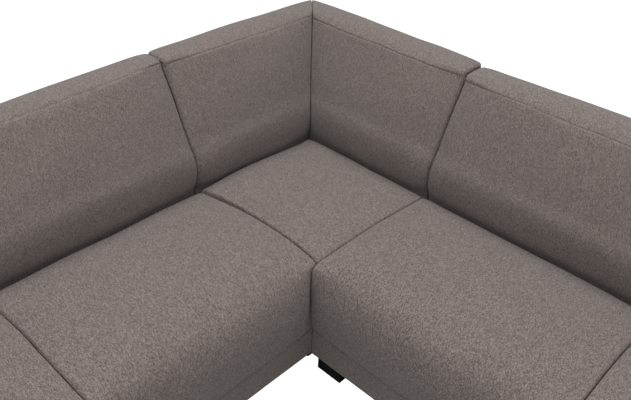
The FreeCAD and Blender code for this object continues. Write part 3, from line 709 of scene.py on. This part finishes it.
def steel(name, colour, rough, marks_scale=None):
    """Drawn steel with marks, or with no scale for them, zinc with its spangle."""
    look = Look(name, metallic=1.0, roughness=rough)
    if marks_scale is None:
        marks = look.flecks((110, 110, 110))
    else:
        marks = look.noise(marks_scale, 3.0, 0.6)
    paint = look.ramp(marks, [(0.15, tuple(np.array(colour) * 0.72)), (0.85, colour)])
    return look.finish(paint, look.noise(900, 2.0), 0.0001, 0.4,
                       look.math("MULTIPLY_ADD", marks, 0.25, rough - 0.1))


def plastic():
    look = Look("black_plastic", roughness=0.6, specular_ior_level=0.12)
    paint = look.ramp(look.noise(35, 3.0), [
        (0.3, (0.0020, 0.0020, 0.0022)), (0.7, (0.0040, 0.0038, 0.0038))])
    rough = look.math("MULTIPLY_ADD", look.noise(60, 4.0), 0.25, 0.50)
    return look.finish(paint, look.noise(1400, 2.0), 0.0002, 0.5, rough)


def felt(name, base, scale=600):
    look = Look(name, roughness=0.95, specular_ior_level=0.15)
    base = np.array(base)
    fibres = look.noise((scale, scale * 0.6, scale), 4.0, 0.75, distortion=0.6)
    colour = look.ramp(fibres, [(0.3, tuple(base * 0.6)), (0.7, tuple(base * 1.3))])
    return look.finish(colour, fibres, 0.0006, 0.8)


seat_cloths, cloths, plinth_cloths = {}, {}, {}
for wing, axis in (("right", 0), ("left", 1)):
    seat_cloths[wing] = melange("melange_fabric_seat_" + wing, axis, contrast=0.82)
    cloths[wing] = melange("melange_fabric_" + wing, axis)
    plinth_cloths[wing] = melange("plinth_fabric_" + wing, axis, sheen=0.10)
rear_cloth = melange("rear_fabric", 2)
dust_cloth = felt("dust_sheet", (0.016, 0.016, 0.017), 420)
looks = {
    "melange_fabric": cloths["right"],
    "plinth_fabric": plinth_cloths["right"],
    "rear_fabric": rear_cloth,
    "dust_sheet": dust_cloth,
    "deck_felt": felt("deck_felt", (0.20, 0.20, 0.19)),
    "hardboard": hardboard(),
    "spring_steel": steel("spring_steel", (0.34, 0.34, 0.35), 0.38, 120),
    "zinc_steel": steel("zinc_steel", (0.62, 0.63, 0.65), 0.36),
    "black_plastic": plastic(),
    "chipboard": chipboard(),
    "pine": pine(),
}
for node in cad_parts.values():
    for held in node.material_slots:
        key = held.material.name.split(".")[0]
        if key in looks and held.material != looks[key]:
            held.material = looks[key]


# Seats


def seat_chains(wing, nose):
    top = CREASE_Z + SEAT_CROWN
    depth = DEPTHS[wing]
    front = depth + NOSE_BULGE[wing]
    centre = front - nose
    face_top = top - nose
    slant = math.sqrt(0.5)
    corner = (centre + nose * slant, face_top + nose * slant)
    path = [(CREASE_GAP, CREASE_Z)]
    path += arc(path[-1], (centre * 0.45, top + 0.001), (centre, top))
    path += arc(path[-1], corner, (front, face_top))
    hem = depth + HEM_BULGE
    face_middle = ((front + hem) / 2 + FACE_BULGE, (face_top + PLINTH_TOP) / 2)
    path += arc(path[-1], face_middle, (hem, PLINTH_TOP + HEM_END))
    path.append((hem, PLINTH_TOP + FIT))
    rail = depth - RAIL_SET + FIT
    inner = np.array([(CREASE_GAP, DECK), (rail, DECK), (rail, PLINTH_TOP + FIT)])
    return soften(path, 0.006), [corner], inner, [(rail, DECK)]


def make_seat(node, wing, s0, s1, seed):
    outer, outer_keys, inner, inner_keys = seat_chains(wing, NOSE)
    cushion = Cushion(
        node + "_cover", wing, outer, outer_keys, fine(inner), inner_keys, s0, s1,
        end_chain=seat_chains(wing, NOSE_END)[:2], high_share=0.15,
        belly=SEAT_BELLY, draw=SEAT_DRAW, round=SEAT_ROUND, round_low=SEAT_ROUND_LOW,
        round_high=0.007, free=(0.02, 0.02, 0.05))
    finish_cushion(cushion, seat_cloths[wing], BODIES[wing], node, seed)


def make_corner_seat(seed):
    top = CREASE_Z + SEAT_CROWN
    edge = CORNER_Y - SEAM
    path = [(CREASE_GAP, CREASE_Z)]
    path += arc(path[-1], (edge * 0.5, top + 0.001), (edge, top - 0.003))
    inner = np.array([(CREASE_GAP, DECK), (edge, DECK)])
    cushion = Cushion(
        "corner_seat_cover", "right", soften(path, 0.010), [], fine(inner), [],
        CREASE_GAP, CORNER_X - UNIT, belly=SEAT_BELLY, draw=SEAT_DRAW, draw_start=0.014,
        reach_start=0.14, round=SEAT_ROUND, round_start=0.012, round_low=SEAT_ROUND_LOW,
        round_high=0.009, free=(0.0, 0.0, 0.05))
    finish_cushion(cushion, seat_cloths["left"], "corner_unit", "corner_seat", seed)


for seed, (place, span) in enumerate(SPANS.items(), 11):
    make_seat(place + "_seat", *span, seed)
make_corner_seat(15)


# Backs


def foam_line(z):
    """How far behind the crease the front of the back's frame lies."""
    slope = (BACK_LEAN + FOAM_BEHIND - FOAM_FOOT) / (FRAME_TOP - DECK)
    return FOAM_FOOT + slope * (z - DECK)


def back_chains(top, band):
    """Chains of a back, with d negative behind the crease."""
    seam = (-band[0], top - band[1])
    turn = band[0] + BAND_SLOPE
    waist = (-BACK_WAIST, CREASE_Z + BACK_WAIST_RISE)
    path = [(-BACK_FOOT_SET, DECK)]
    path += [(d, CREASE_Z + rise) for d, rise in BACK_FOOT_TURN]
    path += arc(path[-1], (BACK_SWELL, CREASE_Z + BACK_SWELL_RISE), waist)
    path += arc(path[-1], ((waist[0] + seam[0]) / 2 + 0.006, (waist[1] + seam[1]) / 2), seam)
    path += arc(path[-1], (-(band[0] + turn) / 2 + 0.003, top - band[1] * 0.36), (-turn, top))
    rear_turn = BACK_DEPTH - BACK_REAR_EDGE
    path += arc(path[-1], (-(turn + rear_turn) / 2, top + 0.0015), (-rear_turn, top))
    rear_in = BACK_REAR_EDGE * REAR_EDGE_SHARE
    rear_corner = (-(BACK_DEPTH - rear_in), top - rear_in)
    path += arc(path[-1], rear_corner, (-BACK_DEPTH, top - BACK_REAR_EDGE))
    path.append((-BACK_DEPTH, FRAME_TOP - FLAP))
    rear = FRAME_REAR + FIT
    inner = [(-FOAM_FOOT, DECK), (-foam_line(FRAME_TOP), FRAME_TOP + FIT),
             (-rear, FRAME_TOP + FIT), (-rear, FRAME_TOP - FLAP)]
    return soften(path, 0.004), [seam, rear_corner], np.array(inner), inner[1:3]


def make_back(node, wing, s0, s1, body, band, seed, **ends):
    top = BACK_Z if s0 is None else WING_BACK_Z[wing]
    outer, outer_keys, inner, inner_keys = back_chains(top, band)
    cushion = Cushion(
        node + "_cover", wing, outer, outer_keys, fine(inner), inner_keys, s0, s1,
        belly=BACK_BELLY, draw=BACK_DRAW, round=BACK_ROUND, round_high=0.003, side=-1,
        high_share=TOP_SHARE, seam=True, free=(0.13, 0.06, 0.07), **ends)
    finish_cushion(cushion, cloths[wing], body, node, seed)


BANDS = {"left": BAND_LEFT, "right": BAND_RIGHT}
for seed, (place, (wing, s0, s1)) in enumerate(SPANS.items(), 21):
    make_back(place + "_back", wing, s0, s1, BODIES[wing], BANDS[wing], seed)
for node, wing, s1, band, seed in (
    ("corner_left_back", "left", CORNER_Y - SEAM, BAND_CORNER_LEFT, 25),
    ("corner_right_back", "right", CORNER_X - UNIT, BAND_RIGHT, 26),
):
    make_back(node, wing, None, s1, "corner_unit", band, seed,
              draw_start=0.004, round_start=0.005, reach_start=0.05)


# Boxes covered in cloth

COVER_GAP = 0.0006              # keeps a cover inside its solid's box
EDGE_SHARES = (0.0, 0.25, 0.6, 1.0, 1.5)
PLINTH_PITCH = 0.016
PLINTH_ROUND = 0.0025
PLINTH_TURN_IN = 0.0115         # of the left border's inner end, beside the joint
ARM_PITCH = 0.015
ARM_ROUND = 0.020
ARM_CROWN = 0.004
ARM_THICK = 0.0045


def grid_block(low, high, pitch, edge):
    """Points of a block, closer together near its edges."""
    axes = []
    for k in range(3):
        size = high[k] - low[k]
        near = {edge * share for share in EDGE_SHARES}
        near = sorted(near | {size - n for n in near})
        places = filled([n for n in near if 0 <= n <= size], edge * 0.1, pitch)
        places[-1] = size
        axes.append(np.array(places) + low[k])
    return np.stack(np.meshgrid(*axes, indexing="ij"), axis=-1)


def round_block(p, low, high, r, round_below=False):
    """Rounds the edges of a block of points."""
    lo = low + r
    hi = high - r
    if not round_below:
        lo[2] = low[2]
    core = np.clip(p, np.minimum(lo, hi), np.maximum(lo, hi))
    away = p - core
    size = np.linalg.norm(away, axis=-1, keepdims=True)
    return np.where(size > TINY, core + away / np.maximum(size, TINY) * r, p)


def box_of(node):
    low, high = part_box(node)
    return np.array(low), np.array(high)


def make_plinth(node, wing):
    low, high = box_of(node)
    if wing == "left":
        high[1] += PLINTH_TURN_IN
    low, high = low + COVER_GAP, high - COVER_GAP
    p = grid_block(low, high, PLINTH_PITCH, PLINTH_ROUND)
    mesh, _ = box_mesh(node + "_cover", round_block(p, low, high, PLINTH_ROUND, True))
    co = coords(mesh)
    put(mesh, co + wave_field(co, 31, 0.12, 3) * 0.0004)
    obj = new_object(node + "_cover", mesh, plinth_cloths[wing])
    smooth(obj)
    hand_over(obj, BODIES[wing], node)


def make_arm(node, wing, seed):
    """An open-bottomed shell round the arm's boards, crowned on its top."""
    low, high = box_of(node)
    low = low + (COVER_GAP, COVER_GAP, 0)
    high = high - (COVER_GAP, COVER_GAP, 0)
    p = round_block(grid_block(low, high, ARM_PITCH, ARM_ROUND), low, high, ARM_ROUND)
    mesh, _ = box_mesh(node, p)
    co = coords(mesh)
    middle = (low + high) / 2
    half = (high - low) / 2
    t = np.clip(np.abs(co - middle) / half, 0, 1)
    top = co[:, 2] > high[2] - ARM_CROWN
    crown = (1 - t[:, 0] ** 2) * (1 - t[:, 1] ** 2)
    co[top, 2] += crown[top] * ARM_CROWN - ARM_CROWN
    put(mesh, co + wave_field(co, seed, 0.25, 2) * 0.0007 * (t[:, 2] < 0.98)[:, None])
    # the bottom stays open
    bm = bmesh.new()
    bm.from_mesh(mesh)
    below = [f for f in bm.faces if all(v.co.z < low[2] + 0.003 for v in f.verts)]
    bmesh.ops.delete(bm, geom=below, context="FACES")
    bm.to_mesh(mesh)
    bm.free()
    obj = new_object(node + "_shell", mesh, cloths["right"])
    thick = obj.modifiers.new("foam", "SOLIDIFY")
    thick.thickness = ARM_THICK
    thick.offset = -1
    smooth(obj)
    hand_over(obj, BODIES[wing], node)


for wing in ("left", "right"):
    make_plinth(wing + "_plinth", wing)
for seed, wing in enumerate(("left", "right"), 41):
    make_arm(wing + "_arm_cover", wing, seed)


# Sheets behind and below

SHEET_PITCH = 0.022
SHEET_WAVE = 0.0009
SHEET_WAVE_RUN = 0.05
REAR = (-(FRAME_REAR + 0.0026), -(FRAME_REAR + 0.0026) + 0.0016)
REAR_HEIGHT = (DUST_TOP, FRAME_TOP - FLAP - FIT)
DUST_HEIGHT = (0.0552, 0.0558)
DUST_REAR = -0.235
REAR_PAST = 0.006               # the rear cloths reach this far past the seats' ends
REAR_AT_JOINT = 0.005


def cloth_panel(name, low, high, thin, material, body, node, seed):
    """A stretched sheet that is thin along one axis, with slack waves inside its edges."""
    size = high - low
    flat = [k for k in range(3) if k != thin]
    axes = []
    for k in range(3):
        count = 2 if k == thin else max(4, math.ceil(size[k] / SHEET_PITCH) + 1)
        axes.append(np.linspace(low[k], high[k], count))
    p = np.stack(np.meshgrid(*axes, indexing="ij"), axis=-1)
    shares = [((p[..., k] - low[k]) / size[k], size[k]) for k in flat]
    away = np.minimum.reduce([part * side for share, side in shares for part in (share, 1 - share)])
    field = wave_field(p.reshape(-1, 3), seed, 0.5, 3)[:, 0].reshape(p.shape[:3])
    p[..., thin] += smoothstep(away / SHEET_WAVE_RUN) * (field * SHEET_WAVE)
    mesh, _ = box_mesh(name, p)
    obj = new_object(name, mesh, material)
    hand_over(obj, body, node)


for seed, (name, body, node, wing, s, rests_on) in enumerate((
    ("right_rear_cloth", "right_unit", "right_rear_covers", "right",
     (CORNER_X + REAR_AT_JOINT, RIGHT_END + REAR_PAST), ["right_rear_panel", "right_top_rail"]),
    ("corner_rear_cloth", "corner_unit", "corner_unit_rear_covers", "right",
     (REAR[0], CORNER_X - REAR_AT_JOINT), ["corner_rear_panel"]),
    ("left_rear_cloth", "corner_unit", "corner_unit_rear_covers", "left",
     (-(FRAME_REAR + 0.0009), LEFT_END + REAR_PAST), ["left_rear_panel", "left_top_rail"]),
), 51):
    low, high = plan_box(wing, s, REAR, REAR_HEIGHT)
    cloth_panel(name, low, high, 1 if wing == "right" else 0, rear_cloth, body, node,
                seed)

for name, body, node, wing, s, front, rests_on in (
    ("right_dust_cloth", "right_unit", "right_dust_cover", "right",
     (CORNER_X + 0.005, RIGHT_END + ARM_WIDTH - 0.007), DEPTHS["right"] - RAIL_SET,
     ["right_front_rail", "right_rear_panel"]),
    ("left_dust_cloth", "corner_unit", "corner_unit_dust_covers", "left",
     (CORNER_Y + 0.001, LEFT_END + ARM_WIDTH - 0.007), DEPTHS["left"] - RAIL_SET,
     ["left_front_rail", "left_rear_panel"]),
    ("corner_dust_cloth", "corner_unit", "corner_unit_dust_covers", "right",
     (DUST_REAR, CORNER_X - 0.006), CORNER_Y, ["corner_end_panel", "corner_rear_panel"]),
):
    low, high = plan_box(wing, s, (DUST_REAR, front), DUST_HEIGHT)
    cloth_panel(name, low, high, 2, dust_cloth, body, node, 54)

END_ROWS = 12
END_COLUMNS = 8
END_FACES = (0.0004, 0.002)     # its two sides, out from the frame's end
END_FRONT_GAP = 0.0008
END_REAR = FRAME_REAR - 0.0005
END_LOW = ARM_Z + 0.001


def end_cloth(name, wing, s, node):
    """The sheet that closes a back's outer end above its arm."""
    rows = []
    for n in range(END_ROWS + 1):
        z = END_LOW + (FRAME_TOP - END_LOW) * n / END_ROWS
        front = foam_line(z) + END_FRONT_GAP
        rows.append([(front + (END_REAR - front) * m / END_COLUMNS, z)
                     for m in range(END_COLUMNS + 1)])
    rows = np.array(rows)
    p = np.zeros(rows.shape[:2] + (2, 3))
    for k, out in enumerate(END_FACES):
        p[:, :, k] = to_row(wing, np.full(rows.shape[:2], s + out), -rows[..., 0], rows[..., 1])
    mesh, _ = box_mesh(name, p)
    obj = new_object(name, mesh, rear_cloth)
    hand_over(obj, BODIES[wing], node)


end_cloth("left_end_cloth", "left", LEFT_END, "corner_unit_rear_covers")
end_cloth("right_end_cloth", "right", RIGHT_END, "right_rear_covers")


# Stage, light and camera

FLOOR_REACH = 150.0
FLOOR_GLOW = 1.15               # makes the floor read white in the camera
FLOOR_GLOW_SHARE = 0.97
WORLD_STRENGTH = 0.37

floor_mesh = bpy.data.meshes.new("floor")
floor_mesh.from_pydata(
    [(x * FLOOR_REACH, y * FLOOR_REACH, 0) for x, y in ((-1, -1), (1, -1), (1, 1), (-1, 1))], [],
    [(0, 1, 2, 3)])
floor = bpy.data.objects.new("floor", floor_mesh)
bpy.context.scene.collection.objects.link(floor)
paper = Look("floor_paper", roughness=0.9)
floor.data.materials.append(
    paper.finish(paper.ramp(paper.noise(3.0), [(0.3, 0.54), (0.7, 0.57)])))
glow = paper.node("ShaderNodeEmission", {"Color": (1, 1, 1, 1), "Strength": FLOOR_GLOW})
seen = paper.node("ShaderNodeLightPath").outputs["Is Camera Ray"]
blend = paper.node("ShaderNodeMixShader", {0: paper.math("MULTIPLY", seen, FLOOR_GLOW_SHARE)})
surface = paper.tree.nodes["Material Output"].inputs["Surface"]
paper.tree.links.new(paper.shader.outputs[0], blend.inputs[1])
paper.tree.links.new(glow.outputs[0], blend.inputs[2])
paper.tree.links.new(blend.outputs[0], surface)

world = bpy.data.worlds.new("studio")
world.use_nodes = True
background = world.node_tree.nodes["Background"].inputs
background["Color"].default_value = (1.0, 1.0, 1.0, 1)
background["Strength"].default_value = WORLD_STRENGTH
bpy.context.scene.world = world


def area_light(name, place, target, size, power):
    data = bpy.data.lights.new(name, "AREA")
    data.shape = "RECTANGLE"
    data.size, data.size_y = size
    data.energy = power
    lamp = bpy.data.objects.new(name, data)
    bpy.context.scene.collection.objects.link(lamp)
    lamp.location = place
    aim = Vector(target) - Vector(place)
    lamp.rotation_euler = aim.to_track_quat("-Z", "Y").to_euler()


area_light("key", (1.4, -2.6, 3.6), (-0.5, 0.5, 0.4), (2.8, 2.2), 20)
area_light("top", (-0.4, 0.3, 4.2), (-0.4, 0.3, 0.0), (4.5, 4.5), 172)

# The camera that was solved from the photo's edges, from the crease corner: x right along the
# right wing, y forward, z up
FOCAL_PX = 718.2
IMAGE_WIDTH = 631
SENSOR = 36.0
CAMERA_TURN = (47.86, 35.16, -2.73)
CAMERA_EYE = (1.645, 1.765, 1.396)
yaw, pitch, roll = (math.radians(a) for a in CAMERA_TURN)
forward = np.array([-math.cos(pitch) * math.cos(yaw), -math.cos(pitch) * math.sin(yaw),
                    -math.sin(pitch)])
right_way = np.array([math.sin(yaw), -math.cos(yaw), 0.0])
down = np.cross(forward, right_way)
down = down if down[2] < 0 else -down
right_turned = math.cos(roll) * right_way + math.sin(roll) * down
down_turned = -math.sin(roll) * right_way + math.cos(roll) * down
flip = np.array([1, -1, 1])     # that frame's y runs against the row's
axes = [Vector(right_turned * flip), Vector(-down_turned * flip), Vector(-forward * flip)]
place = Vector((CREASE[0] + CAMERA_EYE[0], CREASE[1] - CAMERA_EYE[1], CREASE_Z + CAMERA_EYE[2]))
camera = bpy.data.objects.new("camera", bpy.data.cameras.new("camera"))
bpy.context.scene.collection.objects.link(camera)
camera.matrix_world = Matrix.Translation(place) @ Matrix(axes).transposed().to_4x4()
camera.data.sensor_width = SENSOR
camera.data.lens = FOCAL_PX * SENSOR / IMAGE_WIDTH
camera.data.clip_end = 200
bpy.context.scene.camera = camera
bpy.context.scene.view_settings.view_transform = "Standard"
